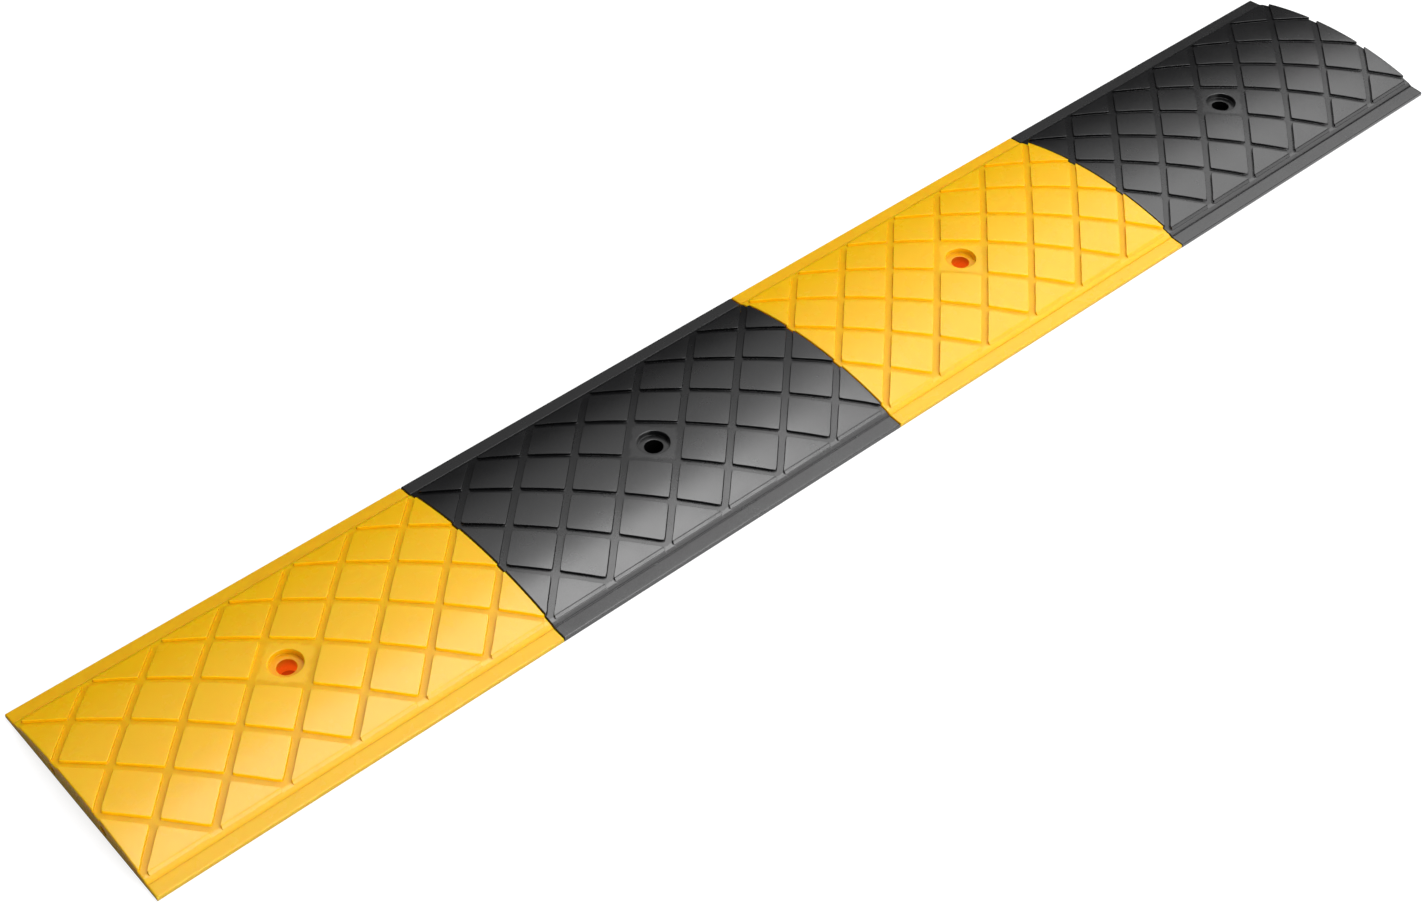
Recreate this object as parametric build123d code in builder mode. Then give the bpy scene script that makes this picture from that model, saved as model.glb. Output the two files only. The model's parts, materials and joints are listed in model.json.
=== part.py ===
from build123d import *
from math import hypot, sqrt
import os

# Speed ramp: a row of arched mouldings, yellow and black in turn, laid end to end on the road.
# Millimetres. X runs along the row, Y across it, Z is up from the road.
# The origin is on the road under the middle of the row.

# Row
module_count = 4
module_length = 249.5  # one moulding, end face to end face
seam_gap = 0.5  # left between the end faces of two neighbours

# Cross-section of a module
module_width = 150.0  # over both lips
crest_height = 15.0  # tread at the middle of the arch
shoulder_height = 6.9  # tread along its long edges
flank_width = 1.2  # sloping sides of the outermost pads, seen from above
ledge_width = 0.4  # groove floor left between the pads and each side wall
side_wall_width = 2.6  # sloping side wall, seen from above
lip_width = 8.8  # each lip beside the arch
lip_root_height = 3.3
lip_edge_height = 2.6
crease_depth = 0.3  # V-shaped line where a side wall meets its lip
shell_wall = 3.0  # from the groove floor to the hollow below
side_rail = 18.0  # solid edge along each long side
end_wall = 4.0
rib_thickness = 2.5

# Tread
diamonds_along = 6
diamonds_across = 3
groove_width = 4.2
groove_depth = 1.8
pad_edge_radius = 0.4
pad_corner_radius = 1.0  # each pad's corners, seen from above

# Anchor hole in the middle of a module
anchor_hole_diameter = 11.0
counterbore_diameter = 19.0
counterbore_depth = 3.5
anchor_boss_wall = 3.5  # around the counterbore

# Dowels across each seam
dowel_diameter = 6.0
dowel_length = 40.0
dowel_offset = 25.0  # from the middle of the arch to each dowel
dowel_cover = 2.0  # plastic left under and beside each socket
dowel_clearance = 0.05  # all round the dowel
dowel_end_clearance = 1.0  # between a dowel's end and the socket's floor
dowel_chamfer = 0.6

# The tread follows an arc through both shoulders and the crest.
# The groove floor and the hollow follow arcs about the same centre line.
module_pitch = module_length + seam_gap
tread_width = module_width - 2 * (lip_width + side_wall_width + ledge_width + flank_width)
arch_rise = crest_height - shoulder_height
tread_radius = ((tread_width / 2) ** 2 + arch_rise**2) / (2 * arch_rise)
arch_centre_height = crest_height - tread_radius
floor_radius = tread_radius - groove_depth
floor_crest_height = crest_height - groove_depth
hollow_radius = floor_radius - shell_wall
hollow_length = module_length - 2 * end_wall
hollow_width = module_width - 2 * side_rail

# The outermost pads slope from the shoulder of the tread to a foot on the groove floor.
# Beyond it come the ledge, the side wall and the lip.
shoulder_offset = tread_width / 2
foot_offset = shoulder_offset + flank_width
foot_height = arch_centre_height + sqrt(floor_radius**2 - foot_offset**2)
wall_offset = foot_offset + ledge_width
wall_height = arch_centre_height + sqrt(floor_radius**2 - wall_offset**2)
crease_offset = wall_offset + side_wall_width

# Each slope runs on into the arch by its own length, so that the pads grow out of it.
root_offset = foot_offset + flank_width
root_height = 2 * foot_height - shoulder_height

# A diamond cell reaches from one groove crossing to the next, and its pad stops half a groove short.
cell_length = module_length / diamonds_along
cell_width = tread_width / diamonds_across
cell_slant = hypot(cell_length, cell_width)
pad_length = cell_length - groove_width * cell_slant / cell_width
pad_width = cell_width - groove_width * cell_slant / cell_length

socket_radius = dowel_diameter / 2 + dowel_clearance
socket_depth = dowel_length / 2 + dowel_end_clearance - seam_gap / 2
dowel_height = socket_radius + dowel_cover
dowel_boss_width = 2 * (socket_radius + dowel_cover)
dowel_boss_length = socket_depth + dowel_cover

# Pads, seen from above. Corners on the ends and shoulders of the tread stay sharp.
# The cell around the anchor hole has no pad.
with BuildSketch() as diamond:
    with BuildLine():
        Polyline(
            (pad_length / 2, 0),
            (0, pad_width / 2),
            (-pad_length / 2, 0),
            (0, -pad_width / 2),
            close=True,
        )
    make_face()

with BuildSketch() as pads:
    with GridLocations(cell_length, cell_width, diamonds_along, diamonds_across + 1):
        add(diamond.sketch)
    with GridLocations(cell_length, cell_width, diamonds_along + 1, diamonds_across):
        add(diamond.sketch)
    pad_corners = pads.vertices().filter_by(
        lambda corner: abs(corner.X) < (module_length - groove_width) / 2
        and abs(corner.Y) < (tread_width - groove_width) / 2
    )
    fillet(pad_corners, radius=pad_corner_radius)
    add(diamond.sketch, mode=Mode.SUBTRACT)
    Rectangle(module_length, module_width, mode=Mode.INTERSECT)

# Pads as solids, cut to the section of the tread.
with BuildPart() as tread:
    with BuildSketch():
        add(pads.sketch)
    extrude(amount=crest_height)
    with BuildSketch(Plane.YZ):
        with BuildLine():
            Polyline(
                (shoulder_offset, shoulder_height),
                (root_offset, root_height),
                (-root_offset, root_height),
                (-shoulder_offset, shoulder_height),
            )
            ThreePointArc(
                (-shoulder_offset, shoulder_height),
                (0, crest_height),
                (shoulder_offset, shoulder_height),
            )
        make_face()
    extrude(amount=module_length, both=True, mode=Mode.INTERSECT)

# Hollow: the space under the shell, left out where ribs and bosses stand.
with BuildPart() as hollow:
    with BuildSketch(Plane.YZ):
        with Locations((0, arch_centre_height)):
            Circle(hollow_radius)
        Rectangle(hollow_width, crest_height, align=(Align.CENTER, Align.MIN), mode=Mode.INTERSECT)
    extrude(amount=hollow_length / 2, both=True)
    with BuildSketch():
        with GridLocations(cell_length, 0, diamonds_along - 1, 1):
            Rectangle(rib_thickness, hollow_width)
        with GridLocations(0, dowel_offset, 1, 3):
            Rectangle(hollow_length, rib_thickness)
        with GridLocations(module_length - dowel_boss_length, 2 * dowel_offset, 2, 2):
            Rectangle(dowel_boss_length, dowel_boss_width)
        Circle(counterbore_diameter / 2 + anchor_boss_wall)
    extrude(amount=crest_height, mode=Mode.SUBTRACT)

# One moulding, in the middle of the row: all modules come out of the same mould.
with BuildPart() as moulding:
    with BuildSketch(Plane.YZ):
        with BuildLine():
            Polyline(
                (wall_offset, wall_height),
                (crease_offset, lip_root_height),
                (module_width / 2, lip_edge_height),
                (module_width / 2, 0),
                (-module_width / 2, 0),
                (-module_width / 2, lip_edge_height),
                (-crease_offset, lip_root_height),
                (-wall_offset, wall_height),
            )
            ThreePointArc(
                (-wall_offset, wall_height),
                (0, floor_crest_height),
                (wall_offset, wall_height),
            )
        make_face()
    extrude(amount=module_length / 2, both=True)
    with BuildSketch(Plane.YZ):
        with Locations((-crease_offset, lip_root_height), (crease_offset, lip_root_height)):
            Rectangle(crease_depth * sqrt(2), crease_depth * sqrt(2), rotation=45)
    extrude(amount=module_length, both=True, mode=Mode.SUBTRACT)
    add(tread.part)
    add(hollow.part, mode=Mode.SUBTRACT)
    for end in (-1, 1):
        with BuildSketch(Plane.YZ.offset(end * module_length / 2)):
            with Locations((-dowel_offset, dowel_height), (dowel_offset, dowel_height)):
                Circle(socket_radius)
        extrude(amount=-end * socket_depth, mode=Mode.SUBTRACT)
    with Locations((0, 0, floor_crest_height)):
        CounterBoreHole(anchor_hole_diameter / 2, counterbore_diameter / 2, counterbore_depth)
    pad_tops = moulding.faces().filter_by(GeomType.CYLINDER).filter_by(
        lambda face: face.radius > floor_radius + groove_depth / 2
    )
    fillet(pad_tops.edges(), radius=pad_edge_radius)

# Dowel: a plain round pin with chamfered ends, lying along X.
with BuildPart() as dowel:
    with BuildSketch(Plane.YZ):
        Circle(dowel_diameter / 2)
    extrude(amount=dowel_length / 2, both=True)
    chamfer(dowel.edges().filter_by(GeomType.CIRCLE), length=dowel_chamfer)

os.makedirs("parts", exist_ok=True)

colours = ("yellow", "black")
first_module_x = -module_pitch * (module_count - 1) / 2
for index in range(module_count):
    with BuildPart(Plane(origin=(first_module_x + index * module_pitch, 0, 0))) as module:
        add(moulding.part)
    module.part.label = f"ramp_module_{index + 1}_{colours[index % len(colours)]}"
    export_step(module.part, f"parts/{module.part.label}.step")

for seam in range(module_count - 1):
    seam_x = first_module_x + (seam + 0.5) * module_pitch
    for side, offset in (("near", -dowel_offset), ("far", dowel_offset)):
        with BuildPart(Plane(origin=(seam_x, offset, dowel_height))) as joining_dowel:
            add(dowel.part)
        joining_dowel.part.label = f"joining_dowel_{seam + 1}_{side}"
        export_step(joining_dowel.part, f"parts/{joining_dowel.part.label}.step")
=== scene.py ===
import json
import math

import bmesh
import bpy
import numpy as np
from mathutils import Matrix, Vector
from mathutils.geometry import delaunay_2d_cdt


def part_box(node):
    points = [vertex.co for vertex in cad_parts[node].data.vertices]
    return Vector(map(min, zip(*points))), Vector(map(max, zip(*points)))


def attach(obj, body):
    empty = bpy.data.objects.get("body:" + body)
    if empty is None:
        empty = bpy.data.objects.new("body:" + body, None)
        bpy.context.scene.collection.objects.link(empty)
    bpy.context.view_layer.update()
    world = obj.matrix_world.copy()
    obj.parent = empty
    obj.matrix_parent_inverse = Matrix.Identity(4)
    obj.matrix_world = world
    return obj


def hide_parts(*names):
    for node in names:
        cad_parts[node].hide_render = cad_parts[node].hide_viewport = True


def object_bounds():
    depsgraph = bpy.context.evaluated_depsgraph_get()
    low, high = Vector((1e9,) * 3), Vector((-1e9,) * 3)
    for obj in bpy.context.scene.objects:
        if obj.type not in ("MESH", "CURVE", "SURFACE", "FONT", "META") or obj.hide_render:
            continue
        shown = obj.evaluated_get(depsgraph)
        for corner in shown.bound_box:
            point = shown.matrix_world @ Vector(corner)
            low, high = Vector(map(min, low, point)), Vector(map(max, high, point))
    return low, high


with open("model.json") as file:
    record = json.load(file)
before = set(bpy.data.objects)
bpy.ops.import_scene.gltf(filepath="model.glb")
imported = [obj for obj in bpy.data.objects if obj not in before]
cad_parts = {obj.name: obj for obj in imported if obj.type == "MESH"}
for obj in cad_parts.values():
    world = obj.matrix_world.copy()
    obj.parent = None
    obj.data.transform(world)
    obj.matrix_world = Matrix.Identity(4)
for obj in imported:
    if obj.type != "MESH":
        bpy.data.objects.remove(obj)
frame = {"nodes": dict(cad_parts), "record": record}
cadBox = [list(corner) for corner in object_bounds()]
print("frame loaded with", len(frame["nodes"]), "nodes")

mm = 0.001  # shapes are worked out in millimetres, meshes are in metres
weldDistance = 0.002  # millimetres
poleRadius = 0.01  # millimetres, what is left open at a pole and then filled flat
fillTolerance = 1e-5  # millimetres
tiny = 1e-6  # shares and lengths below this count as nothing
sharpAngle = 38  # degrees, edges that turn more than this stay sharp
insideOnly = 1  # the kind of triangles that delaunay_2d_cdt gives back


# Mesh helpers


def gridFaces(rows, columns):
    # Quads of a rows by columns grid whose vertices are numbered row by row.
    first = np.arange(rows * columns).reshape(rows, columns)
    corners = (first[:-1, :-1], first[1:, :-1], first[1:, 1:], first[:-1, 1:])
    return np.stack(corners, axis=-1).reshape(-1, 4)


def gridSurface(x, y, z):
    # A surface given by three arrays of one shape, the value of x, y and z at each grid point.
    x, y, z = np.broadcast_arrays(x, y, z)
    points = np.stack((x, y, z), axis=-1).reshape(-1, 3)
    return points, gridFaces(*x.shape).tolist()


def roundedLine(corners, reaches, steps):
    # A polyline with each inner corner swapped for a quadratic curve that leaves the line one reach before the
    # corner and joins it again one reach after it.
    corners = np.asarray(corners, float)
    share = np.linspace(0, 1, steps + 1)[:, None]
    pieces = [corners[:1]]
    for before, corner, after, reach in zip(corners, corners[1:], corners[2:], reaches):
        start = corner + reach * (before - corner) / np.linalg.norm(before - corner)
        end = corner + reach * (after - corner) / np.linalg.norm(after - corner)
        pieces.append((1 - share) ** 2 * start + 2 * share * (1 - share) * corner + share**2 * end)
    pieces.append(corners[-1:])
    line = np.concatenate(pieces)
    step = np.linalg.norm(np.diff(line, axis=0), axis=1)
    return line[np.concatenate(([True], step > weldDistance))]


def flatFill(loops):
    # Triangles over the flat region inside the first loop and outside the others. All points are joined up first, and
    # a triangle is kept if a line from its middle along +X crosses the loops an odd number of times.
    starts = np.concatenate(loops)
    ends = np.concatenate([np.roll(loop, -1, axis=0) for loop in loops])
    first = np.cumsum([0] + [len(loop) for loop in loops])
    edges = [(a + i, a + (i + 1) % (b - a)) for a, b in zip(first, first[1:]) for i in range(b - a)]
    flat, _, faces, *_ = delaunay_2d_cdt(starts.tolist(), edges, [], insideOnly, fillTolerance)
    flat, faces = np.array(flat, float), np.array(faces)
    x, y = flat[faces].mean(axis=1).T[..., None]
    rise = ends[:, 1] - starts[:, 1]
    crossed = (starts[:, 1] > y) != (ends[:, 1] > y)
    crossing = starts[:, 0] + (y - starts[:, 1]) * (ends[:, 0] - starts[:, 0]) / np.where(rise == 0, 1, rise)
    odd = (crossed & (crossing > x)).sum(axis=1) % 2 == 1
    return flat, faces[odd].tolist()


def joinSurfaces(surfaces):
    # All the surfaces as one list of points and one list of faces.
    points, faces, start = [], [], 0
    for surfacePoints, surfaceFaces in surfaces:
        points.append(surfacePoints)
        faces += [[start + corner for corner in face] for face in surfaceFaces]
        start += len(surfacePoints)
    return np.concatenate(points), faces


def meshPiece(name, points, faces, marks=None):
    # A closed mesh object at the origin: doubles merged, faces outwards, smooth but for its sharp edges.
    mesh = bpy.data.meshes.new(name)
    mesh.from_pydata((points * mm).tolist(), [], faces)
    for mark, values in (marks or {}).items():
        mesh.attributes.new(mark, "FLOAT", "POINT").data.foreach_set("value", values)
    work = bmesh.new()
    work.from_mesh(mesh)
    bmesh.ops.remove_doubles(work, verts=work.verts, dist=weldDistance * mm)
    bmesh.ops.recalc_face_normals(work, faces=work.faces)
    openEdges = sum(not edge.is_manifold for edge in work.edges)
    work.to_mesh(mesh)
    work.free()
    mesh.shade_smooth()
    mesh.set_sharp_from_angle(angle=math.radians(sharpAngle))
    piece = bpy.data.objects.new(name, mesh)
    bpy.context.scene.collection.objects.link(piece)
    weighted = piece.modifiers.new("flatFacesLead", "WEIGHTED_NORMAL")
    weighted.keep_sharp = True
    print(name, len(mesh.vertices), "vertices", len(mesh.polygons), "faces", openEdges, "open edges")
    return piece


# Ramp module

rampModule = {  # lengths in millimetres
    "crestHeight": 15.0,
    "shoulderHeight": 6.9,
    "shoulderReach": 0.5,
    "shoulderBend": 0.9,  # share of that reach which is rounded
    "flankWidth": 1.2,
    "footReach": 0.3,
    "ledgeWidth": 0.4,
    "sideWallWidth": 2.6,
    "lipWidth": 8.8,
    "lipRootHeight": 3.3,
    "lipEdgeHeight": 2.6,
    "lipEdgeReach": 0.8,
    "creaseDepth": 0.3,
    "creaseShadeReach": 1.0,
    "farLipShade": 1.0,  # share of full painted shade on the lip on the +Y side
    "endRadius": 0.7,
    "endDropShare": 0.6,  # most of its height that a low edge loses to the end's rounding
    "edgeBand": 5.0,  # width in which the tread is squeezed to fit inside its borders
    "diamondsAlong": 6,
    "diamondsAcross": 3,
    "grooveWidth": 4.2,
    "grooveDepth": 1.8,
    "grooveRootRadius": 0.3,
    "grooveFade": 3,  # power that the groove floor's finish fades with up the walls
    "wallDraft": 0.05,
    "padEdgeRadius": 0.25,
    "padCornerRadius": 1.1,
    "padCrown": 0.16,
    "sheenOffset": 0.3,  # from a groove's wall to the middle of the painted highlight line on a pad
    "sheenReach": 0.6,
    "floorLines": 2,
    "padLines": 5,
    "curveSteps": 4,
    "anchorHoleRadius": 5.5,
    "counterboreRadius": 9.5,
    "counterboreDepth": 3.5,
    "rimRadius": 0.5,
    "cellFloorLines": 4,
    "seatBand": 1.0,  # height of the counterbore's lowest band
    "seatReach": 0.3,
    "boreEdgeReach": 0.4,
    "boreChamfer": 0.4,
    "boreChamferReach": 0.2,
    "seatShade": 0.3,  # shares of the bore's painted shade and painted glow on the seat, and of the wall's painted glow above it
    "seatGlow": 0.15,
    "seatWallGlow": 0.3,
    "boreGlowReach": 6.0,
    "anchorBossWall": 3.5,
    "bossPoints": 13,
    "shellWall": 3.0,
    "sideRail": 18.0,
    "endWall": 4.0,
    "ribThickness": 2.5,
    "pocketPoints": 7,
    "pocketLongSide": 8.0,  # shorter sides of a pocket aren't divided
    "socketRadius": 3.05,
    "socketDepth": 20.75,
    "socketOffset": 25.0,
    "socketCover": 2.0,
    "socketChamfer": 0.4,
    "socketSides": 32,
}


def archHeight(shape, y, depth):
    # Height of an arc about the tread's own centre line, this deep under the tread.
    # The tread's arc goes through both shoulders and the crest: radius = (half width^2 + rise^2) / (2 rise).
    rise = shape["crestHeight"] - shape["shoulderHeight"]
    radius = (shape["shoulderY"] ** 2 + rise**2) / (2 * rise)
    return shape["crestHeight"] - radius + np.sqrt((radius - depth) ** 2 - np.square(y))


def grooveProfile(shape, halfPitch):
    # From the middle of a groove to the middle of a pad: offset from the groove's middle line, depth under the
    # tread, and the radius that the line turns the pad's corner with. Both bends are quarter circles.
    turn = np.linspace(0, math.pi / 2, shape["curveSteps"] + 1)
    root, edge = shape["grooveRootRadius"], shape["padEdgeRadius"]
    wall = shape["grooveWidth"] / 2
    rootOffset = wall - shape["wallDraft"] - root + root * np.sin(turn)
    rootDepth = shape["grooveDepth"] - root + root * np.cos(turn)
    edgeOffset = wall + edge - edge * np.cos(turn)
    edgeDepth = edge - edge * np.sin(turn)
    floorOffset = np.linspace(0, rootOffset[0], shape["floorLines"] + 1)[:-1]
    padOffset = np.linspace(edgeOffset[-1], halfPitch, shape["padLines"] + 1)[1:]
    offset = np.concatenate((floorOffset, rootOffset, edgeOffset, padOffset))
    depth = np.concatenate((floorOffset * 0 + shape["grooveDepth"], rootDepth, edgeDepth, padOffset * 0))
    onWall = shape["padCornerRadius"] + wall - offset
    onFloor = onWall * (offset / rootOffset[0]) ** 2
    corner = np.maximum(np.where(offset < rootOffset[0], onFloor, onWall), 0)
    return offset, depth, corner


def drawnIn(value, edge, radius, band):
    # Leaves values alone up to the last band before the edge, which is squeezed so as to stop one radius short of it.
    return np.sign(value) * np.interp(np.abs(value), (0, edge - band, edge), (0, edge - band, edge - radius))


def treadSurface(shape):
    # Groove lines are p = x/cell + y/cell and q = x/cell - y/cell at every half step, so pads are the unit squares
    # of (p, q). The grid has lines at each offset of the groove profile on both sides of each groove. A point's
    # ring is the nearer of its two lines, which gives its depth, and a ring turns a pad's corner on an arc:
    # near = m + r (1 - cos a), far = m + r (1 - sin a), where a falls from 45 degrees to 0 along the side.
    along, across = shape["diamondsAlong"], shape["diamondsAcross"]
    cellX, cellY = 2 * shape["halfLength"] / along, 2 * shape["shoulderY"] / across
    pitch = cellX * cellY / math.hypot(cellX, cellY)
    offset, depth, corner = grooveProfile(shape, pitch / 2)
    last = len(offset) - 1
    units = np.arange(along + across) - (along + across - 1) / 2
    ringUp, ringDown = np.arange(last + 1), np.arange(last - 1, 0, -1)
    base = np.concatenate((ringUp * 0 - 0.5, ringDown * 0 + 0.5))
    way = np.concatenate((ringUp * 0 + 1, ringDown * 0 - 1))
    ring = np.append(np.tile(np.concatenate((ringUp, ringDown)), len(units)), 0)
    base = np.append((units[:, None] + base).ravel(), units[-1] + 0.5)
    way = np.append(np.tile(way, len(units)), 1)
    ringP, ringQ = np.meshgrid(ring, ring, indexing="ij")
    nearest = np.minimum(ringP, ringQ)
    run = np.abs(offset[ringP] - offset[ringQ])
    radius = corner[nearest]
    turn = math.pi / 4 * np.clip(1 - run / np.maximum(radius, tiny), 0, 1)
    near = offset[nearest] + radius * (1 - np.cos(turn))
    far = offset[nearest] + np.where(run < radius, radius * (1 - np.sin(turn)), run)
    p = base[:, None] + way[:, None] * np.where(ringP <= ringQ, near, far) / pitch
    q = base[None, :] + way[None, :] * np.where(ringP <= ringQ, far, near) / pitch
    x = drawnIn(cellX * (p + q) / 2, shape["halfLength"], shape["endRadius"], shape["edgeBand"])
    y = drawnIn(cellY * (p - q) / 2, shape["shoulderY"], shape["shoulderReach"], shape["edgeBand"])
    # Unbent lattice, which says what lies inside the tread and which cell holds the anchor hole.
    flatP = (base + way * offset[ring] / pitch)[:, None]
    flatQ = flatP.T
    flatX, flatY = (flatP + flatQ) / 2, (flatP - flatQ) / 2
    inside = (np.abs(flatX) < along / 2 + tiny) & (np.abs(flatY) < across / 2 + tiny)
    floorRing = np.flatnonzero(depth == shape["grooveDepth"])[-1]
    cellEdge = 0.5 - offset[floorRing] / pitch
    reach = np.maximum(np.abs(flatP), np.abs(flatQ))
    holeCell = reach < cellEdge + tiny
    ringDepth = np.where(reach < 0.5, shape["grooveDepth"], depth[nearest])
    share = ringDepth / shape["grooveDepth"]
    # Pads are crowned: a pad's top falls with the square of the distance from its middle, by the crown half a pitch
    # away. The fall fades out down the walls and towards the borders of the tread.
    padP, padQ = np.round(flatP), np.round(flatQ)
    fromMiddle = np.hypot(cellX * (flatX - (padP + padQ) / 2), cellY * (flatY - (padP - padQ) / 2))
    toBorder = np.minimum(shape["treadX"] - np.abs(x), shape["treadY"] - np.abs(y)) / shape["edgeBand"]
    fall = shape["padCrown"] * (2 * fromMiddle / pitch) ** 2 * (1 - share) * np.clip(toBorder, 0, 1)
    z = archHeight(shape, y, ringDepth) - fall
    quads = gridFaces(*x.shape)
    kept = inside.ravel()[quads]
    cut = holeCell.ravel()[quads].all(axis=1)
    whole = quads[kept.all(axis=1) & ~cut]
    halfKept = kept.sum(axis=1) == 3
    halves = quads[halfKept][kept[halfKept]].reshape(-1, 3)
    points = np.stack((x, y, z), axis=-1).reshape(-1, 3)
    # A lighter line along each pad's edge is a painted highlight.
    sheenMiddle = shape["grooveWidth"] / 2 + shape["sheenOffset"]
    sheenLine = np.clip(1 - np.abs(offset[nearest] - sheenMiddle) / shape["sheenReach"], 0, 1)
    onWall = (share > 0) & (share < 1)
    shaded = onWall & (ringP <= ringQ) & (way[:, None] > 0)  # walls turned towards -X and -Y, which get a painted glow
    marks = {
        "padEdge": np.where(reach < 0.5, 0, sheenLine),
        "grooveFloor": np.where(onWall, share ** shape["grooveFade"], share),
        "shadedWall": shaded * 1.0,
    }
    # Only the points that a face uses are passed on.
    used = np.unique(np.concatenate((whole.ravel(), halves.ravel())))
    number = np.zeros(len(points), int)
    number[used] = np.arange(len(used))
    faces = number[whole].tolist() + number[halves].tolist()
    marks = {mark: values.ravel()[used] for mark, values in marks.items()}
    # Borders that the next surfaces start from, in order along each side, each end and round the hole's cell.
    sides, ends = [], []
    for sign in (-1, 1):
        on = inside & (np.abs(flatY - sign * across / 2) < tiny)
        order = np.argsort(x[on])
        sides.append((x[on][order], ringDepth[on][order]))
        on = inside & (np.abs(flatX - sign * along / 2) < tiny)
        order = np.argsort(y[on])
        ends.append((y[on][order], z[on][order]))
    rim = holeCell & (np.abs(reach - cellEdge) < tiny)
    order = np.argsort(np.arctan2(y[rim], x[rim]))
    outline = np.stack((x[rim], y[rim]), axis=-1)[order]
    return (points[used], faces), marks, sides, ends, outline


def flankProfile(shape):
    # Across the outermost pads, from the edge of the tread outwards: shoulder, sloping flank, foot, ledge.
    corners = (
        (shape["treadY"], archHeight(shape, shape["treadY"], 0)),
        (shape["shoulderY"], shape["shoulderHeight"]),
        (shape["footY"], archHeight(shape, shape["footY"], shape["grooveDepth"])),
        (shape["wallY"], archHeight(shape, shape["wallY"], shape["grooveDepth"])),
    )
    shoulder = shape["shoulderBend"] * shape["shoulderReach"]
    return roundedLine(corners, (shoulder, shape["footReach"]), shape["curveSteps"])


def rimProfile(shape):
    # From the ledge outwards: side wall, V-shaped crease, lip, lip edge, down to the road.
    crease, root, deep, shadeReach = (shape[key] for key in ("creaseY", "lipRootHeight", "creaseDepth", "creaseShadeReach"))
    wallTop = archHeight(shape, shape["wallY"], shape["grooveDepth"])
    wallSlope = (wallTop - root) / shape["sideWallWidth"]
    lipSlope = (root - shape["lipEdgeHeight"]) / shape["lipWidth"]
    corners = (
        (crease - shadeReach, root + shadeReach * wallSlope),
        (crease - deep, root + deep * wallSlope),
        (crease, root - deep),
        (crease + deep, root - deep * lipSlope),
        (crease + shadeReach, root - shadeReach * lipSlope),
        (shape["halfWidth"], shape["lipEdgeHeight"]),
        (shape["halfWidth"], 0),
    )
    return roundedLine(corners, (0, 0, 0, 0, shape["lipEdgeReach"]), shape["curveSteps"])


def sideSurface(shape, sign, x, depth):
    # The edge of the tread carried outwards. Over the flank, height = floor + lift (1 - depth / groove depth), where
    # the floor is the groove floor's arch and the lift is how far the pads' flank stands above it. Then the rim.
    flank, rim = flankProfile(shape), rimProfile(shape)
    floor = archHeight(shape, flank[:, :1], shape["grooveDepth"])
    height = floor + (flank[:, 1:] - floor) * (1 - depth / shape["grooveDepth"])
    wall = np.broadcast_to(rim[:, 1:], (len(rim), len(x)))
    height = np.concatenate((height, wall))
    y = sign * np.concatenate((flank[:, :1], rim[:, :1]))
    return gridSurface(x[None, :], y, height), y[:, 0], height


def endSurfaces(shape, sign, y, z):
    # The end's outline turned over a quarter turn, x = start + r sin a, z = height - drop (1 - cos a), where the drop
    # is r or a share of the height if that is less. Then the flat end face with its two sockets, each a chamfer, a
    # round wall and a floor.
    turn = np.linspace(0, math.pi / 2, shape["curveSteps"] + 1)[:, None]
    radius = shape["endRadius"]
    drop = np.minimum(radius, shape["endDropShare"] * z)
    x = sign * (shape["treadX"] + radius * np.sin(turn))
    height = z - drop * (1 - np.cos(turn))
    surfaces = [gridSurface(x, y[None, :], height)]
    angle = np.linspace(0, 2 * math.pi, shape["socketSides"], endpoint=False)
    socketZ = shape["socketRadius"] + shape["socketCover"]
    mouth = shape["socketRadius"] + shape["socketChamfer"]
    loops = [np.stack((y, height[-1]), axis=-1)]
    ring = np.append(angle, angle[0])
    for side in (-1, 1):
        centreY = side * shape["socketOffset"]
        loops.append(np.stack((centreY + mouth * np.cos(angle), socketZ + mouth * np.sin(angle)), axis=-1))
        r = np.array((mouth, shape["socketRadius"], shape["socketRadius"], poleRadius))[:, None]
        inward = np.array((0, shape["socketChamfer"], shape["socketDepth"], shape["socketDepth"]))[:, None]
        surfaces.append(
            gridSurface(
                sign * (shape["halfLength"] - inward),
                centreY + r * np.cos(ring),
                socketZ + r * np.sin(ring),
            )
        )
        floor = np.stack((np.cos(angle), np.sin(angle)), axis=-1) * poleRadius + (centreY, socketZ)
        flat, faces = flatFill([floor])
        deep = np.full(len(flat), sign * (shape["halfLength"] - shape["socketDepth"]))
        surfaces.append((np.column_stack((deep, flat)), faces))
    flat, faces = flatFill(loops)
    surfaces.append((np.column_stack((np.full(len(flat), sign * shape["halfLength"]), flat)), faces))
    return surfaces


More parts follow.
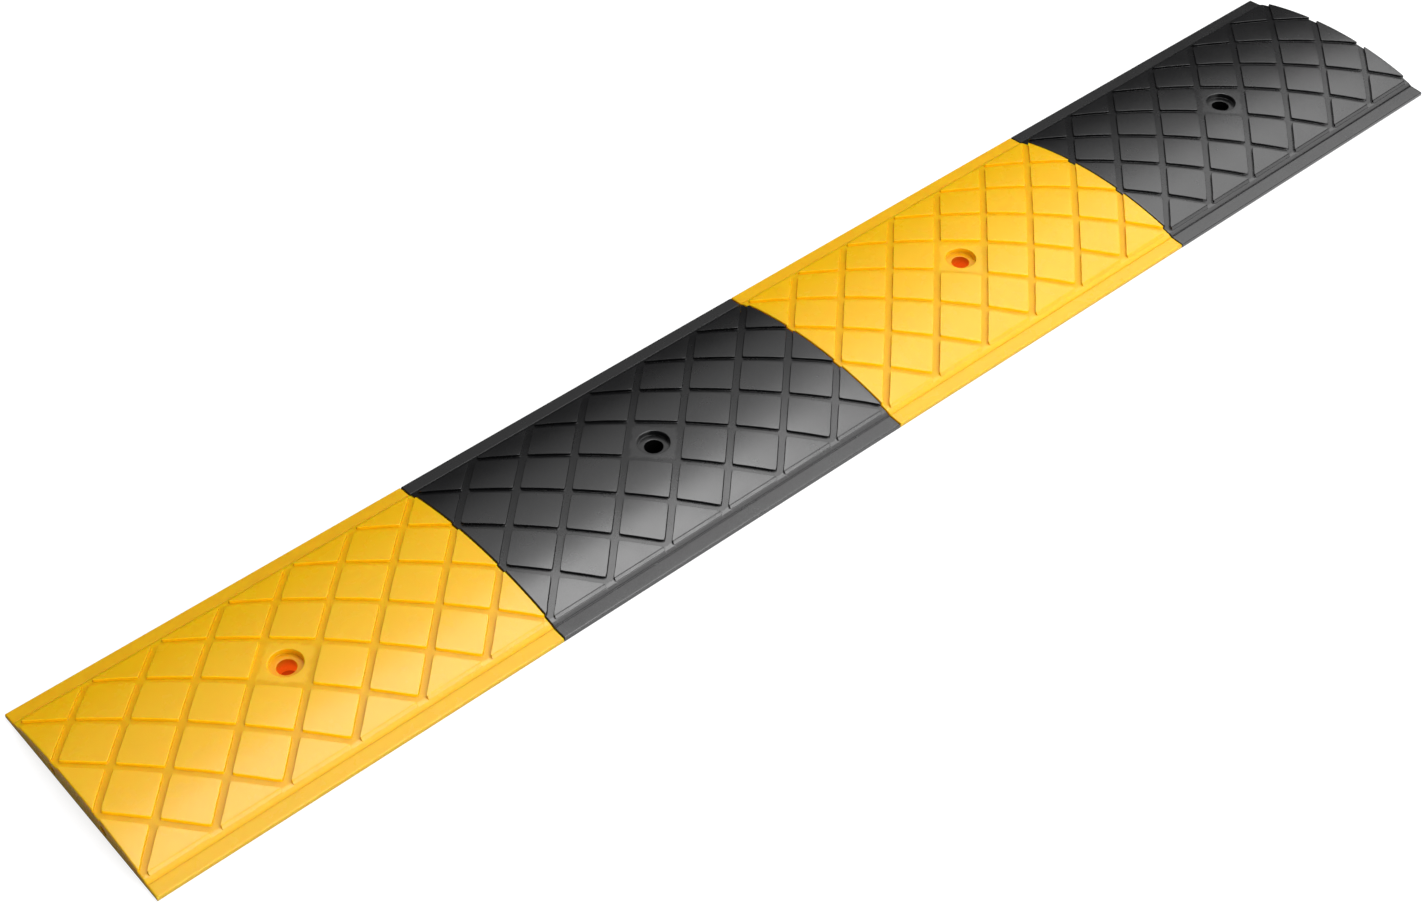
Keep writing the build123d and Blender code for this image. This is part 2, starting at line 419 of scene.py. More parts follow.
def anchorHoleSurfaces(shape, outline):
    # The floor of the hole's cell drawn in from the cell's outline to the counterbore, then the counterbore and the
    # hole as profiles carried round their axis. The rim follows the arched floor, the seat below it is flat.
    angle = np.unwrap(np.arctan2(outline[:, 1], outline[:, 0]))
    even = angle[0] + np.linspace(0, 2 * math.pi, len(angle), endpoint=False)
    angle = (angle + even) / 2
    around = np.stack((np.cos(angle), np.sin(angle)), axis=-1)
    rim = shape["rimRadius"]
    bore, counterbore = shape["anchorHoleRadius"], shape["counterboreRadius"]
    share = np.linspace(0, 1, shape["cellFloorLines"])[:, None, None]
    floor = (1 - share) * outline + share * (counterbore + rim) * around
    floor = np.concatenate((floor, floor[:, :1]), axis=1)
    floorHeight = archHeight(shape, floor[..., 1], shape["grooveDepth"])
    surfaces = [gridSurface(floor[..., 0], floor[..., 1], floorHeight)]
    seat = shape["crestHeight"] - shape["grooveDepth"] - shape["counterboreDepth"]
    turn = np.linspace(0, math.pi / 2, shape["curveSteps"] + 1)
    rimR = counterbore + rim * (1 - np.sin(turn))
    rimDrop = rim * (1 - np.cos(turn))
    lower = roundedLine(
        (
            (counterbore, seat + shape["seatBand"]),
            (counterbore, seat),
            (bore, seat),
            (bore, seat - shape["boreGlowReach"]),
            (bore, shape["boreChamfer"]),
            (bore + shape["boreChamfer"], 0),
        ),
        (shape["seatReach"], shape["boreEdgeReach"], 0, shape["boreChamferReach"]),
        shape["curveSteps"],
    )
    r = np.concatenate((rimR, lower[:, 0]))[:, None]
    ring = np.concatenate((around, around[:1]))
    x, y = r * ring[:, 0], r * ring[:, 1]
    top = archHeight(shape, y[: len(turn)], shape["grooveDepth"]) - rimDrop[:, None]
    z = np.concatenate((top, np.broadcast_to(lower[:, 1:], (len(lower), len(ring)))))
    surfaces.append(gridSurface(x, y, z))
    return surfaces, (bore + shape["boreChamfer"]) * around


def pocketOutlines(shape):
    # Plan of each hollow between the ribs. End columns step back round the dowel bosses, and the four pockets in
    # the middle curve back round the anchor boss.
    rib = shape["ribThickness"] / 2
    cell = 2 * shape["halfLength"] / shape["diamondsAlong"]
    hollowX, hollowY = shape["halfLength"] - shape["endWall"], shape["halfWidth"] - shape["sideRail"]
    bossX = shape["halfLength"] - shape["socketDepth"] - shape["socketCover"]
    bossHalf = shape["socketRadius"] + shape["socketCover"]
    offset = shape["socketOffset"]
    boss = shape["counterboreRadius"] + shape["anchorBossWall"]
    columns = shape["diamondsAlong"] // 2
    outlines = []
    for column in range(columns):
        left = column * cell + rib
        right = (column + 1) * cell - rib if column < columns - 1 else hollowX
        inner = [(left, rib), (right, rib), (right, offset - rib), (left, offset - rib)]
        outer = [(left, offset + rib), (right, offset + rib), (right, hollowY), (left, hollowY)]
        if column == columns - 1:
            inner[2:3] = [(right, offset - bossHalf), (bossX, offset - bossHalf), (bossX, offset - rib)]
            outer[1:2] = [(bossX, offset + rib), (bossX, offset + bossHalf), (right, offset + bossHalf)]
        if column == 0:
            start = math.asin(rib / boss)
            angle = np.linspace(math.pi / 2 - start, start, shape["bossPoints"])
            inner[:1] = np.stack((np.cos(angle), np.sin(angle)), axis=-1) * boss
        outlines += [np.array([tuple(point) for point in plan]) for plan in (inner, outer)]
    return [plan * (sx, sy) for plan in outlines for sx in (-1, 1) for sy in (-1, 1)]


def undersideSurfaces(shape, edgeX, bore):
    # The flat underside with its hollows cut out, then each hollow's upright walls and its arched ceiling.
    outline = np.concatenate(
        (
            np.column_stack((edgeX, np.full(len(edgeX), -shape["halfWidth"]))),
            np.column_stack((edgeX[::-1], np.full(len(edgeX), shape["halfWidth"]))),
        )
    )
    ceilingDepth = shape["grooveDepth"] + shape["shellWall"]
    surfaces, loops = [], [outline, bore]
    for plan in pocketOutlines(shape):
        # Long sides are divided so that walls and ceiling follow the arch.
        following = np.roll(plan, -1, axis=0)
        parts = [np.linspace(a, b, shape["pocketPoints"])[:-1] for a, b in zip(plan, following)]
        long = np.linalg.norm(following - plan, axis=1) > shape["pocketLongSide"]
        plan = np.concatenate([part if divided else part[:1] for part, divided in zip(parts, long)])
        loops.append(plan)
        ring = np.concatenate((plan, plan[:1]))
        top = archHeight(shape, ring[:, 1], ceilingDepth)
        surfaces.append(gridSurface(ring[:, 0], ring[:, 1], np.stack((top * 0, top))))
        flat, faces = flatFill([plan])
        surfaces.append((np.column_stack((flat, archHeight(shape, flat[:, 1], ceilingDepth))), faces))
    flat, faces = flatFill(loops)
    surfaces.append((np.column_stack((flat, np.zeros(len(flat)))), faces))
    return surfaces


def moduleSurfaces(shape, low, high):
    # The whole moulding about its own middle, as one list of points and faces and its marks.
    shape = dict(shape)
    shape["halfLength"] = (high.x - low.x) / 2 / mm
    shape["halfWidth"] = (high.y - low.y) / 2 / mm
    shape["creaseY"] = shape["halfWidth"] - shape["lipWidth"]
    shape["wallY"] = shape["creaseY"] - shape["sideWallWidth"]
    shape["footY"] = shape["wallY"] - shape["ledgeWidth"]
    shape["shoulderY"] = shape["footY"] - shape["flankWidth"]
    shape["treadX"] = shape["halfLength"] - shape["endRadius"]
    shape["treadY"] = shape["shoulderY"] - shape["shoulderReach"]
    tread, marks, sides, ends, outline = treadSurface(shape)
    surfaces = [tread]
    edges = []
    for sign, (x, depth) in zip((-1, 1), sides):
        surface, edgeY, height = sideSurface(shape, sign, x, depth)
        surfaces.append(surface)
        edges.append((edgeY, height))
    for sign, column, (y, z) in zip((-1, 1), (0, -1), ends):
        endY = np.concatenate((edges[0][0][:0:-1], y, edges[1][0][1:]))
        endZ = np.concatenate((edges[0][1][:0:-1, column], z, edges[1][1][1:, column]))
        apart = np.append(True, np.hypot(np.diff(endY), np.diff(endZ)) > weldDistance)
        surfaces += endSurfaces(shape, sign, endY[apart], endZ[apart])
    holeSurfaces, bore = anchorHoleSurfaces(shape, outline)
    surfaces += holeSurfaces
    turn = np.linspace(0, math.pi / 2, shape["curveSteps"] + 1)[1:]
    rounded = shape["treadX"] + shape["endRadius"] * np.sin(turn)
    edgeX = np.concatenate((-rounded[::-1], sides[0][0], rounded))
    surfaces += undersideSurfaces(shape, edgeX, bore)
    points, faces = joinSurfaces(surfaces)
    spare = np.zeros(len(points) - len(tread[0]))
    marks = {mark: np.concatenate((values, spare)) for mark, values in marks.items()}
    # Marks by place: painted shade falls off to both sides of a crease and lies on the lip on the +Y side, the
    # counterbore's wall gets painted glow on the side turned towards -X and -Y, its seat has some of the bore's
    # painted shade, and the bore's painted glow grows from the seat downwards.
    x, y, z = points.T
    fromCrease = np.abs(np.abs(y) - shape["creaseY"]) / shape["creaseShadeReach"]
    farLip = np.where(y > shape["creaseY"], shape["farLipShade"], 0)
    marks["creaseShade"] = np.where(z > 0, np.maximum(np.clip(1 - fromCrease, 0, 1), farLip), 0)
    counterbore = shape["counterboreRadius"]
    fromAxis = np.hypot(x, y)
    below = shape["crestHeight"] - shape["grooveDepth"] - shape["counterboreDepth"] - z  # under the seat
    inHole = fromAxis < counterbore + weldDistance
    shaded = shape["seatWallGlow"] * np.clip((x + y) / counterbore, 0, 1)
    marks["shadedWall"] += np.where(inHole & (below < -weldDistance), shaded, 0)
    inBore = inHole & (below > -weldDistance)
    marks["boreShade"] = np.where(inBore, np.clip(shape["seatShade"] + np.maximum(below, 0), 0, 1), 0)
    marks["boreGlow"] = np.where(inBore, np.clip(shape["seatGlow"] + below / shape["boreGlowReach"], 0, 1), 0)
    return points, faces, marks


# Joining dowel

joiningDowel = {"chamfer": 0.6, "chamferReach": 0.2, "chamferSteps": 3, "sides": 48}  # lengths in millimetres


def dowelSurface(shape, low, high):
    # A profile of radius against length carried round the X axis.
    length, radius = (high.x - low.x) / mm, (high.z - low.z) / 2 / mm
    chamfer = shape["chamfer"]
    corners = (
        (0, poleRadius),
        (0, radius - chamfer),
        (chamfer, radius),
        (length - chamfer, radius),
        (length, radius - chamfer),
        (length, poleRadius),
    )
    profile = roundedLine(corners, (shape["chamferReach"],) * 4, shape["chamferSteps"])
    angle = np.linspace(0, 2 * math.pi, shape["sides"] + 1)
    middle = (low + high) / 2 / mm
    x = low.x / mm + profile[:, :1]
    y = middle.y + profile[:, 1:] * np.cos(angle)
    z = middle.z + profile[:, 1:] * np.sin(angle)
    surfaces = [gridSurface(x, y, z)]
    for row in (0, -1):
        flat, faces = flatFill([np.column_stack((y[row, :-1], z[row, :-1]))])
        surfaces.append((np.column_stack((np.full(len(flat), x[row, 0]), flat)), faces))
    return joinSurfaces(surfaces)


# Finishes


def nodeGroup(name, inputs, outputs):
    # A shader node group that takes a vector and these values, and gives these values back.
    group = bpy.data.node_groups.new(name, "ShaderNodeTree")
    group.interface.new_socket("Vector", in_out="INPUT", socket_type="NodeSocketVector")
    for way, labels in (("INPUT", inputs), ("OUTPUT", outputs)):
        for label in labels:
            group.interface.new_socket(label, in_out=way, socket_type="NodeSocketFloat")
    return group, group.nodes.new("NodeGroupInput"), group.nodes.new("NodeGroupOutput")


def addNode(tree, kind, **settings):
    # One node with these of its properties set.
    node = tree.nodes.new(kind)
    for label, value in settings.items():
        setattr(node, label, value)
    return node


def mathNode(tree, operation, first, second=0.5, clamp=False):
    # One Math node. Each operand is a number or another node's socket.
    node = addNode(tree, "ShaderNodeMath", operation=operation, use_clamp=clamp)
    for place, operand in enumerate((first, second)):
        if isinstance(operand, bpy.types.NodeSocket):
            tree.links.new(operand, node.inputs[place])
        else:
            node.inputs[place].default_value = operand
    return node.outputs[0]


def noiseNode(tree, vector, scale, detail, roughness):
    # A Noise Texture's value. Its scale is a number or a socket.
    node = addNode(tree, "ShaderNodeTexNoise")
    node.inputs["Detail"].default_value = detail
    node.inputs["Roughness"].default_value = roughness
    tree.links.new(vector, node.inputs["Vector"])
    if isinstance(scale, bpy.types.NodeSocket):
        tree.links.new(scale, node.inputs["Scale"])
    else:
        node.inputs["Scale"].default_value = scale
    return node.outputs["Fac"]


def rampNode(tree, fac, low, high):
    # Stretches the part of a value between low and high over 0 to 1.
    node = addNode(tree, "ShaderNodeMapRange")
    node.inputs["From Min"].default_value = low
    node.inputs["From Max"].default_value = high
    tree.links.new(fac, node.inputs["Value"])
    return node.outputs["Result"]


mouldNoise = {  # detail and roughness of each noise, the scale of one, and the part of its values that is used
    "grain": (3.0, 0.6),
    "flow": (3.0, 0.5),
    "flowRange": (0.3, 0.7),
    "glossScale": 46.0,
    "gloss": (4.0, 0.6),
    "glossRange": (0.32, 0.68),
}


def makeMouldGrain(noise):
    # Skin of a moulded plastic: fine etched grain as a height, slow flow of the melt as a tone from 0 to 1, and
    # uneven gloss from 0 to 1.
    group, start, end = nodeGroup("mouldGrain", ("Grain Scale", "Flow Scale"), ("Height", "Flow", "Gloss"))
    vector = start.outputs["Vector"]
    grain = noiseNode(group, vector, start.outputs["Grain Scale"], *noise["grain"])
    flow = noiseNode(group, vector, start.outputs["Flow Scale"], *noise["flow"])
    flow = rampNode(group, flow, *noise["flowRange"])
    gloss = noiseNode(group, vector, noise["glossScale"], *noise["gloss"])
    gloss = rampNode(group, gloss, *noise["glossRange"])
    group.links.new(grain, end.inputs["Height"])
    group.links.new(flow, end.inputs["Flow"])
    group.links.new(gloss, end.inputs["Gloss"])
    return group


sheenAndDarkeningNoise = {  # scale, detail and roughness of each noise, and the part of its values that is used
    "sheen": (260.0, 4.0, 0.65),
    "sheenRange": (0.42, 0.7),
    "darkening": (120.0, 5.0, 0.7),
    "darkeningRange": (0.35, 0.75),
    "leastDarkening": 0.5,  # share of its full strength
}


def makeTreadSheenAndDarkening(noise):
    # Painted highlight as a lighter line along pad edges, and a darker finish on groove floors with painted shade in
    # creases and on the lip on the +Y side. Both are broken up by noise, and the darkening never thins out below a
    # share of its full strength.
    group, start, end = nodeGroup("treadSheenAndDarkening", ("Edges", "Floors"), ("Sheen", "Darkening"))
    vector = start.outputs["Vector"]
    broken = rampNode(group, noiseNode(group, vector, *noise["sheen"]), *noise["sheenRange"])
    sheen = mathNode(group, "MULTIPLY", start.outputs["Edges"], broken, clamp=True)
    cloud = rampNode(group, noiseNode(group, vector, *noise["darkening"]), *noise["darkeningRange"])
    cloud.node.inputs["To Min"].default_value = noise["leastDarkening"]
    darkening = mathNode(group, "MULTIPLY", start.outputs["Floors"], cloud, clamp=True)
    group.links.new(sheen, end.inputs["Sheen"])
    group.links.new(darkening, end.inputs["Darkening"])
    return group


def mixColour(tree, factor, first, second):
    # Mixes from the first colour to the second by the factor. Colours are sockets or triples.
    node = addNode(tree, "ShaderNodeMix", data_type="RGBA")
    tree.links.new(factor, node.inputs["Factor"])
    for place, colour in (("A", first), ("B", second)):
        socket = next(s for s in node.inputs if s.name == place and s.type == "RGBA")
        if isinstance(colour, bpy.types.NodeSocket):
            tree.links.new(colour, socket)
        else:
            socket.default_value = (*colour, 1)
    return next(s for s in node.outputs if s.type == "RGBA")


def plasticMaterial(name, finish):
    # A moulded plastic. The marks of a mesh say where it gets a painted highlight along pad edges, where it is darker,
    # with painted shade in creases and on the lip on the +Y side, where painted shade and painted glow fill the bore
    # and lift shaded walls, and where it is dull; a mesh without marks has none of that.
    material = bpy.data.materials.new(name)
    material.use_nodes = True
    material.diffuse_color = (*finish["colour"], 1)
    tree = material.node_tree
    shader = tree.nodes["Principled BSDF"]
    place = addNode(tree, "ShaderNodeTexCoord").outputs["Object"]
    grain = addNode(tree, "ShaderNodeGroup", node_tree=mouldGrain)
    grain.inputs["Grain Scale"].default_value = finish["grainScale"]
    grain.inputs["Flow Scale"].default_value = finish["flowScale"]
    tree.links.new(place, grain.inputs["Vector"])
    use = addNode(tree, "ShaderNodeGroup", node_tree=treadSheenAndDarkening)
    tree.links.new(place, use.inputs["Vector"])
    marks = {
        mark: addNode(tree, "ShaderNodeAttribute", attribute_name=mark).outputs["Fac"]
        for mark in ("padEdge", "shadedWall", "grooveFloor", "creaseShade", "boreShade", "boreGlow")
    }
    tree.links.new(marks["padEdge"], use.inputs["Edges"])
    tree.links.new(mathNode(tree, "MAXIMUM", marks["grooveFloor"], marks["creaseShade"]), use.inputs["Floors"])
    colour = mixColour(tree, grain.outputs["Flow"], finish["deepColour"], finish["colour"])
    # Melt flow tone, then a painted highlight along pad edges, a darker colour on groove floors with painted shade in
    # creases and on the lip on the +Y side, then painted shade in the bore.
    sheen = mathNode(tree, "MULTIPLY", use.outputs["Sheen"], finish["sheen"])
    colour = mixColour(tree, sheen, colour, finish["sheenColour"])
    darkening = mathNode(tree, "MULTIPLY", use.outputs["Darkening"], finish["darkening"])
    colour = mixColour(tree, darkening, colour, finish["darkeningColour"])
    # Painted shade in the bore, with the red of light bounced inside it.
    colour = mixColour(tree, marks["boreShade"], colour, finish["boreShadeColour"])
    tree.links.new(colour, shader.inputs["Base Color"])
    gloss = mathNode(tree, "MULTIPLY_ADD", grain.outputs["Gloss"], finish["roughnessSpread"])
    gloss.node.inputs[2].default_value = finish["roughness"] - finish["roughnessSpread"] / 2
    matt = mathNode(tree, "MULTIPLY_ADD", use.outputs["Darkening"], finish["darkeningRoughness"])
    tree.links.new(gloss, matt.node.inputs[2])
    tree.links.new(matt, shader.inputs["Roughness"])
    bump = addNode(tree, "ShaderNodeBump")
    bump.inputs["Strength"].default_value = finish["grainStrength"]
    bump.inputs["Distance"].default_value = finish["grainDepth"]
    tree.links.new(grain.outputs["Height"], bump.inputs["Height"])
    tree.links.new(bump.outputs["Normal"], shader.inputs["Normal"])
    # Painted glow: emission stands in for light that has come through the plastic, and lifts the shaded walls and the
    # bore.
    glow = mixColour(tree, marks["shadedWall"], (0, 0, 0), finish["wallGlow"])
    glow = mixColour(tree, marks["boreGlow"], glow, finish["boreGlow"])
    tree.links.new(glow, shader.inputs["Emission Color"])
    shader.inputs["Emission Strength"].default_value = 1.0
    # Pads and sides are polished; groove floors, bores, creases and the lip on the +Y side aren't.
    dull = mathNode(tree, "MAXIMUM", marks["grooveFloor"], marks["boreShade"])
    dull = mathNode(tree, "MAXIMUM", dull, marks["creaseShade"])
    polish = mathNode(tree, "SUBTRACT", 1.0, dull)
    tree.links.new(mathNode(tree, "MULTIPLY", polish, finish["polish"]), shader.inputs["Coat Weight"])
    shader.inputs["Coat Roughness"].default_value = finish["roughness"]
    shader.inputs["Specular IOR Level"].default_value = finish["specular"]
    shader.inputs["Subsurface Weight"].default_value = finish["glow"]
    shader.inputs["Subsurface Radius"].default_value = finish["glowColour"]
    shader.inputs["Subsurface Scale"].default_value = finish["glowDepth"]
    return material


mouldGrain = makeMouldGrain(mouldNoise)
treadSheenAndDarkening = makeTreadSheenAndDarkening(sheenAndDarkeningNoise)

plainFinish = {  # a clean plastic that lets no light through
    # Colours of the painted highlight on pad edges, of the darkening with painted shade in creases, of painted shade
    # in bores, and of painted glow.
    "sheenColour": (0.075, 0.075, 0.077),
    "darkeningColour": (0.060, 0.058, 0.056),
    "boreShadeColour": (0.004, 0.004, 0.004),
    "boreGlow": (0.0, 0.0, 0.0),
    "wallGlow": (0.0, 0.0, 0.0),
    "sheen": 0.0,
    "darkening": 0.0,
    "darkeningRoughness": 0.0,
    "roughnessSpread": 0.06,
    "grainScale": 2400.0,
    "flowScale": 9.0,
    "grainStrength": 0.12,
    "grainDepth": 0.0002,
    "polish": 0.0,
    "glow": 0.0,
    "glowColour": (1.0, 1.0, 1.0),
    "glowDepth": 0.001,
}
yellowFinish = {
    **plainFinish,
    "colour": (0.90, 0.50, 0.002),
    "deepColour": (0.88, 0.48, 0.002),
    # Painted highlight on pad edges, darker floors with painted shade in creases, painted shade in bores, and painted
    # glow in bores and on shaded walls.
    "sheenColour": (0.92, 0.60, 0.03),
    "darkeningColour": (0.60, 0.27, 0.002),
    "boreShadeColour": (0.32, 0.035, 0.003),
    "boreGlow": (0.62, 0.070, 0.003),
    "wallGlow": (0.31, 0.185, 0.001),
    "sheen": 0.18,
    "darkening": 0.45,
    "darkeningRoughness": 0.08,
    "roughness": 0.27,
    "specular": 0.20,
    "polish": 0.45,
    "glow": 0.5,
    "glowColour": (1.0, 0.4, 0.04),
    "glowDepth": 0.005,
}
blackFinish = {
    **plainFinish,
    "colour": (0.0075, 0.0075, 0.008),
    "deepColour": (0.006, 0.006, 0.0065),
    "sheen": 0.02,
    "darkeningRoughness": 0.02,
    "roughness": 0.25,
    "specular": 0.55,
    "polish": 0.48,
}
nylonFinish = {
    **plainFinish,
    "colour": (0.58, 0.55, 0.45),
    "deepColour": (0.51, 0.48, 0.38),
    "roughness": 0.48,
    "roughnessSpread": 0.10,
    "grainScale": 1500.0,
    "flowScale": 60.0,
    "grainStrength": 0.10,
    "specular": 0.5,
    "glow": 0.2,
    "glowColour": (1.0, 0.9, 0.7),
    "glowDepth": 0.002,
}
finishes = {
    "yellow_plastic": plasticMaterial("yellowPlastic", yellowFinish),
    "black_plastic": plasticMaterial("blackPlastic", blackFinish),
    "dowel_nylon": plasticMaterial("dowelNylon", nylonFinish),
}
print("finishes made:", ", ".join(finishes))


# The row

nodeBody = {node: body for body, nodes in frame["record"]["behaviour"]["bodies"].items() for node in nodes}
moduleNodes = sorted(node for node in frame["nodes"] if node.startswith("ramp_module"))
dowelNodes = sorted(node for node in frame["nodes"] if node.startswith("joining_dowel"))


def standIn(node, piece, slot):
    # The piece takes the node's place, rides its body and gets its finish.
    piece.data.materials.append(finishes[slot])
    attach(piece, nodeBody[node])
    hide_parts(node)


modulePoints, moduleFaces, moduleMarks = moduleSurfaces(rampModule, *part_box(moduleNodes[0]))
bores = {"yellow_plastic": [], "black_plastic": []}  # x and y of each
for node in moduleNodes:
    low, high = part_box(node)
    middle = np.array(((low.x + high.x) / 2, (low.y + high.y) / 2, low.z)) / mm
    piece = meshPiece(node + "_moulding", modulePoints + middle, moduleFaces, moduleMarks)
    slot = "yellow_plastic" if node.endswith("yellow") else "black_plastic"
    standIn(node, piece, slot)
    bores[slot].append(middle[:2] * mm)

for node in dowelNodes:
    piece = meshPiece(node + "_pin", *dowelSurface(joiningDowel, *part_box(node)))
    standIn(node, piece, "dowel_nylon")
print("row built:", len(moduleNodes), "modules and", len(dowelNodes), "dowels")


# Studio

studio = {  # lengths in metres
    "floorSize": 8.0,
    "floorColour": 0.25,
    "floorGlow": 0.85,
    "backFloorColour": 0.03,  # behind the row, in reflections
    "leftShare": 0.05,  # of the floor's glow, in the row's left end face
    # Patches on the floor: painted shade and painted glow below the bores, painted shade below the seams.
    "boreSpot": 0.006,  # half the width of the patches below the bores
    "boreTravel": 0.09,  # along +X, as the modules are pulled apart
    "boreFloorGlow": 0.4,
    "seamSpot": 0.001,  # half the width of the patches below the seams
    "worldColour": (0.03, 0.03, 0.03),
    "ceilingHeight": 2.6,
    "frontDistance": 3.0,
    "ceilingPanels": {
        # x from and to, y from and to, as shares of the ceiling's height, and radiance
        "keyBox": (-0.10, 0.55, -0.22, 0.34, 5.7),
        "rightBox": (0.55, 1.50, -0.22, 0.38, 2.5),
        "midBox": (0.55, 1.50, 0.38, 0.62, 1.85),
        "backBox": (-0.10, 0.55, 0.34, 0.64, 1.2),
        "farBox": (-0.10, 1.50, 0.64, 1.00, 0.78),
        "fadeBox": (-0.10, 1.50, 1.00, 1.31, 0.50),
        "lowBox": (-0.10, 1.60, 1.31, 1.75, 0.28),
        "leftWallBox": (-0.10, 0.75, -0.60, -0.22, 1.15),
        "rightWallBox": (0.75, 1.50, -0.60, -0.22, 1.6),
        "frontFill": (-0.20, 1.30, -2.00, -0.90, 4.0),
    },
    "frontPanels": {
        # x from and to, height from and to, metres, and radiance
        "facetBox": (-1.20, 1.80, 0.02, 0.70, 7.0),
        "cornerBox": (1.80, 4.50, 0.02, 0.70, 1.7),
    },
    "leftDistance": 2.0,
    "leftPanels": {
        # y from and to, height from and to, metres, and radiance
        "leftPanel": (-1.00, 1.00, 0.02, 0.80, 0.7),
    },
}


def flatPiece(name, size):
    # A level square of this size about the origin.
    mesh = bpy.data.meshes.new(name)
    half = size / 2
    mesh.from_pydata([(-half, -half, 0), (half, -half, 0), (half, half, 0), (-half, half, 0)], [], [(0, 1, 2, 3)])
    piece = bpy.data.objects.new(name, mesh)
    bpy.context.scene.collection.objects.link(piece)
    return piece


def patchesNode(tree, place, middles, half):
    # 1 inside any of these rectangles on the floor, which all have the same half length and half width, 0 elsewhere.
    patches = 0.0
    for middle in middles:
        inside = 1.0
        for axis in range(2):
            away = mathNode(tree, "ABSOLUTE", mathNode(tree, "SUBTRACT", place.outputs[axis], middle[axis]))
            inside = mathNode(tree, "MULTIPLY", inside, mathNode(tree, "LESS_THAN", away, half[axis]))
        patches = mathNode(tree, "MAXIMUM", patches, inside)
    return patches


def floorMaterial(setup):
    # Pale and matt. The camera sees more of it than the light gives, so that the lit floor is white, and so do
    # glossy surfaces that look at the floor in front of the row, or at a share of it beside its left end. Behind the
    # row they see a dark floor.
    material = bpy.data.materials.new("paleFloor")
    material.use_nodes = True
    tree = material.node_tree
    shader = tree.nodes["Principled BSDF"]
    shader.inputs["Roughness"].default_value = 1.0
    shader.inputs["Specular IOR Level"].default_value = 0.0
    rays = addNode(tree, "ShaderNodeLightPath")
    place = addNode(tree, "ShaderNodeSeparateXYZ")
    tree.links.new(addNode(tree, "ShaderNodeTexCoord").outputs["Object"], place.inputs["Vector"])
    low, high = cadBox
    inFront = mathNode(tree, "LESS_THAN", place.outputs["Y"], low[1])
    atLeft = mathNode(tree, "LESS_THAN", place.outputs["X"], low[0])
    share = mathNode(tree, "MAXIMUM", inFront, mathNode(tree, "MULTIPLY", atLeft, setup["leftShare"]))
    glossy = mathNode(tree, "MULTIPLY", rays.outputs["Is Glossy Ray"], share)
    seen = mathNode(tree, "MAXIMUM", rays.outputs["Is Camera Ray"], glossy)
    glow = mathNode(tree, "MULTIPLY", seen, setup["floorGlow"])
    # None of it in the seams, which keeps painted shade there, nor below the bores as far as they travel: there the
    # floor has the bore's painted shade and painted glow.
    spot, travel = setup["boreSpot"], setup["boreTravel"]
    below = {
        slot: patchesNode(tree, place, [(x + travel / 2, y) for x, y in centres], (travel / 2 + spot, spot))
        for slot, centres in bores.items()
    }
    seams = [(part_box(node)[1].x, (low[1] + high[1]) / 2) for node in moduleNodes[:-1]]
    dark = patchesNode(tree, place, seams, (setup["seamSpot"], (high[1] - low[1]) / 2))
    for patches in below.values():
        dark = mathNode(tree, "MAXIMUM", dark, patches)
    glow = mathNode(tree, "MULTIPLY", glow, mathNode(tree, "SUBTRACT", 1.0, dark))
    colour = mixColour(tree, below["black_plastic"], (setup["floorColour"],) * 3, blackFinish["boreShadeColour"])
    colour = mixColour(tree, below["yellow_plastic"], colour, yellowFinish["boreShadeColour"])
    behind = mathNode(tree, "GREATER_THAN", place.outputs["Y"], high[1])
    mirrored = mathNode(tree, "MULTIPLY", behind, rays.outputs["Is Glossy Ray"])
    colour = mixColour(tree, mirrored, colour, (setup["backFloorColour"],) * 3)
    tree.links.new(colour, shader.inputs["Base Color"])
    floorGlowColour = mixColour(tree, below["yellow_plastic"], (1, 1, 1), yellowFinish["boreGlow"])
    tree.links.new(floorGlowColour, shader.inputs["Emission Color"])
    lit = mathNode(tree, "MULTIPLY", rays.outputs["Is Camera Ray"], below["yellow_plastic"])
    lit = mathNode(tree, "MULTIPLY", lit, setup["boreFloorGlow"])
    tree.links.new(mathNode(tree, "MAXIMUM", glow, lit), shader.inputs["Emission Strength"])
    return material


def aimed(back):
    # Rotation that turns Z to this direction and keeps X level.
    right = np.cross((0, 0, 1), back)
    right = right / np.linalg.norm(right)
    return np.column_stack((right, np.cross(back, right), back))


def lightPanel(name, middle, turn, width, height, radiance):
    # A panel that shines along its own -Z. Even radiance takes pi * area * radiance watts.
    data = bpy.data.lights.new(name, "AREA")
    data.shape = "RECTANGLE"
    data.size, data.size_y = width, height
    data.energy = math.pi * width * height * radiance
    light = bpy.data.objects.new(name, data)
    light.matrix_world = Matrix.Translation(middle) @ Matrix(turn.tolist()).to_4x4()
    bpy.context.scene.collection.objects.link(light)


def ceilingPanel(name, setup, left, right, near, far, radiance):
    # Level, shining down.
    height = setup["ceilingHeight"]
    middle = ((left + right) / 2 * height, (near + far) / 2 * height, height)
    lightPanel(name, middle, np.eye(3), (right - left) * height, (far - near) * height, radiance)


def frontPanel(name, setup, left, right, low, high, radiance):
    # Upright in front of the row, shining at it.
    middle = ((left + right) / 2, -setup["frontDistance"], (low + high) / 2)
    lightPanel(name, middle, aimed((0, -1, 0)), right - left, high - low, radiance)


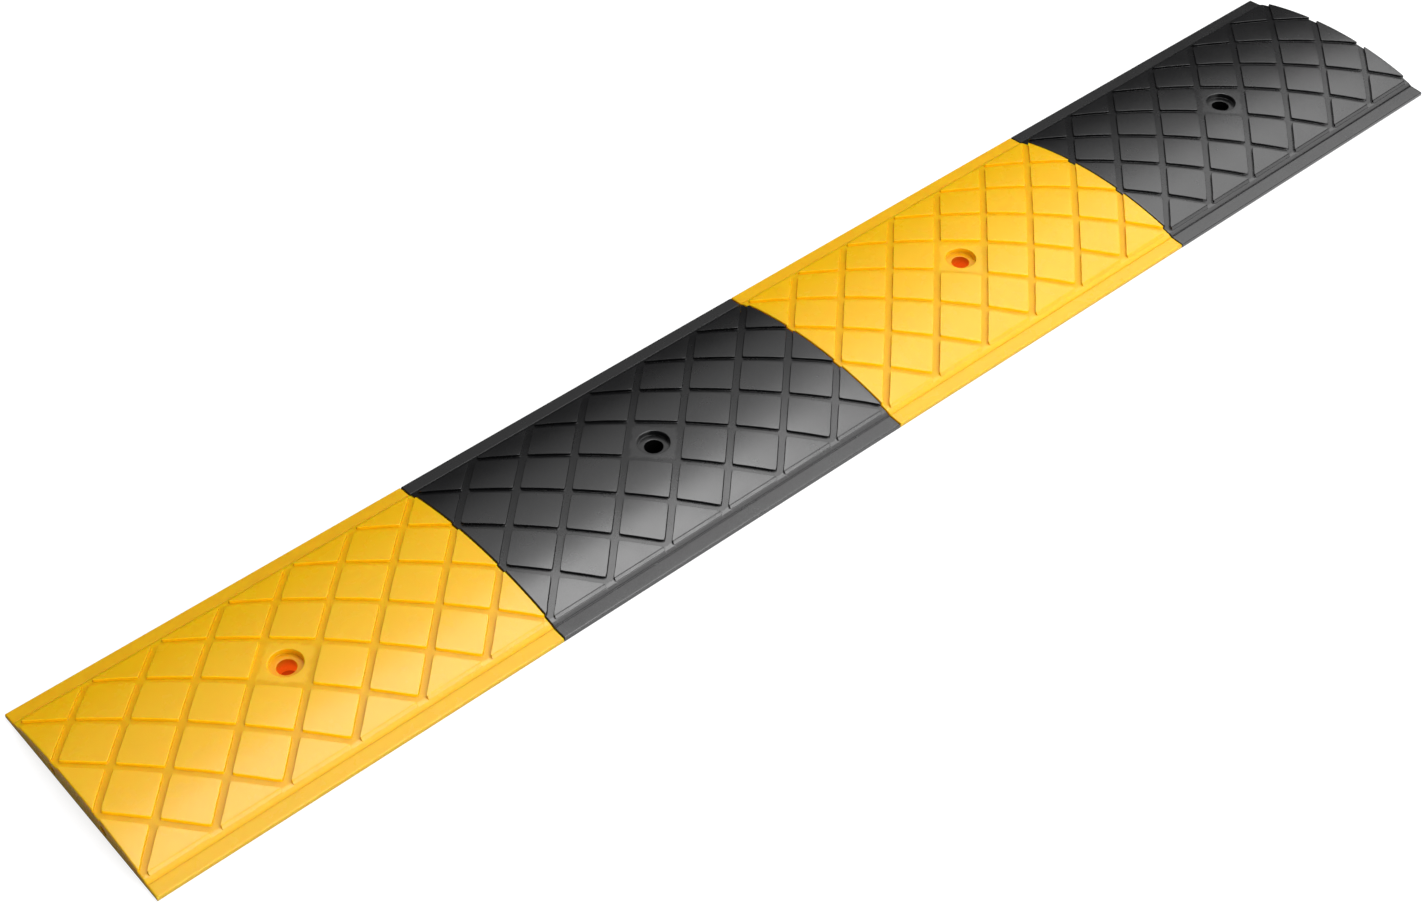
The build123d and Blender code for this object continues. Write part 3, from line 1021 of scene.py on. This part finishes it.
def leftPanel(name, setup, near, far, low, high, radiance):
    # Upright to the left of the row, shining at its end face.
    middle = (-setup["leftDistance"], (near + far) / 2, (low + high) / 2)
    lightPanel(name, middle, aimed((-1, 0, 0)), far - near, high - low, radiance)


floor = flatPiece("floor", studio["floorSize"])
floor.data.materials.append(floorMaterial(studio))
panelKinds = {"ceilingPanels": ceilingPanel, "frontPanels": frontPanel, "leftPanels": leftPanel}
for kind, makePanel in panelKinds.items():
    for name, settings in studio[kind].items():
        makePanel(name, studio, *settings)
world = bpy.data.worlds.new("studioWorld")
world.use_nodes = True
# White to the camera beyond the floor, and dim to everything else.
toCamera = addNode(world.node_tree, "ShaderNodeLightPath").outputs["Is Camera Ray"]
backdrop = mixColour(world.node_tree, toCamera, studio["worldColour"], (1, 1, 1))
world.node_tree.links.new(backdrop, world.node_tree.nodes["Background"].inputs["Color"])
bpy.context.scene.world = world
bpy.context.scene.view_settings.view_transform = "Standard"
print("studio lit by", sum(len(studio[kind]) for kind in panelKinds), "panels")


# Camera

photoCamera = {
    "position": (-0.708418, -0.724234, 0.919367),
    "azimuth": -40.8796,
    "elevation": 44.5678,
    "roll": -0.2042,
    "focalPixels": 2268.2643,
    "imageWidth": 1422,
    "sensorWidth": 36.0,
}


def makeCamera(view):
    # Looks back along azimuth and elevation, turned about its own axis by the roll.
    azimuth, elevation = math.radians(view["azimuth"]), math.radians(view["elevation"])
    back = np.array((
        math.sin(azimuth) * math.cos(elevation),
        -math.cos(azimuth) * math.cos(elevation),
        math.sin(elevation),
    ))
    turn = aimed(back)
    data = bpy.data.cameras.new("photoCamera")
    data.sensor_width = view["sensorWidth"]
    data.lens = view["focalPixels"] * view["sensorWidth"] / view["imageWidth"]
    camera = bpy.data.objects.new("photoCamera", data)
    bpy.context.scene.collection.objects.link(camera)
    roll = Matrix.Rotation(math.radians(view["roll"]), 4, "Z")
    camera.matrix_world = Matrix.Translation(view["position"]) @ Matrix(turn.tolist()).to_4x4() @ roll
    bpy.context.scene.camera = camera


makeCamera(photoCamera)
